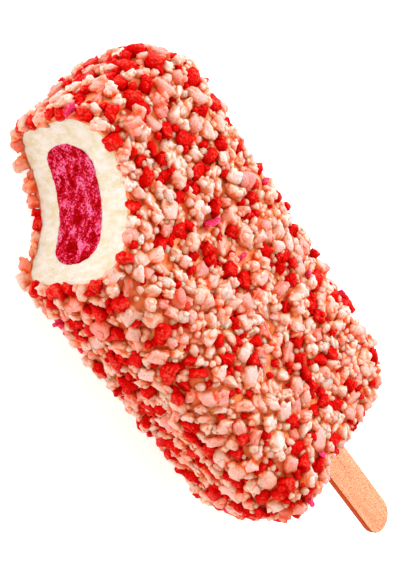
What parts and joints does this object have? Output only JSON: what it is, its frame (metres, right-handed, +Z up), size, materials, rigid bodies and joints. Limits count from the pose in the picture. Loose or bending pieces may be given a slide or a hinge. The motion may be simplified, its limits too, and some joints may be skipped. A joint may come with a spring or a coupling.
{
  "type": "ice pop",
  "caption": "Ice cream bar on a flat wooden stick, coated in pink and red crumbs, with a bitten corner that shows vanilla ice cream round a strawberry centre.",
  "frame": {"origin": "under the middle of the whole object's box, on the surface that the bar lies on", "axes": "+X from the bitten tip towards the stick, +Y across the bar away from the bite, +Z up out of the shown broad face"},
  "size_m": [0.145, 0.0594, 0.0375],
  "materials": {
    "ice_cream": "pale vanilla ice cream, soft satin with a fine frozen grain",
    "strawberry": "crimson strawberry ice, granular, with frosted pink specks",
    "crumb": "peach glaze covered in matte biscuit crumbs, cream to salmon, with red and pink fruit pieces",
    "wood": "plain birch, smooth and unvarnished, with a fine straight grain"
  },
  "bodies": {
    "root": {"ice_cream": "ice_cream", "strawberry_centre": "strawberry", "crumb_coating": "crumb", "stick": "wood"}
  },
  "joints": []
}
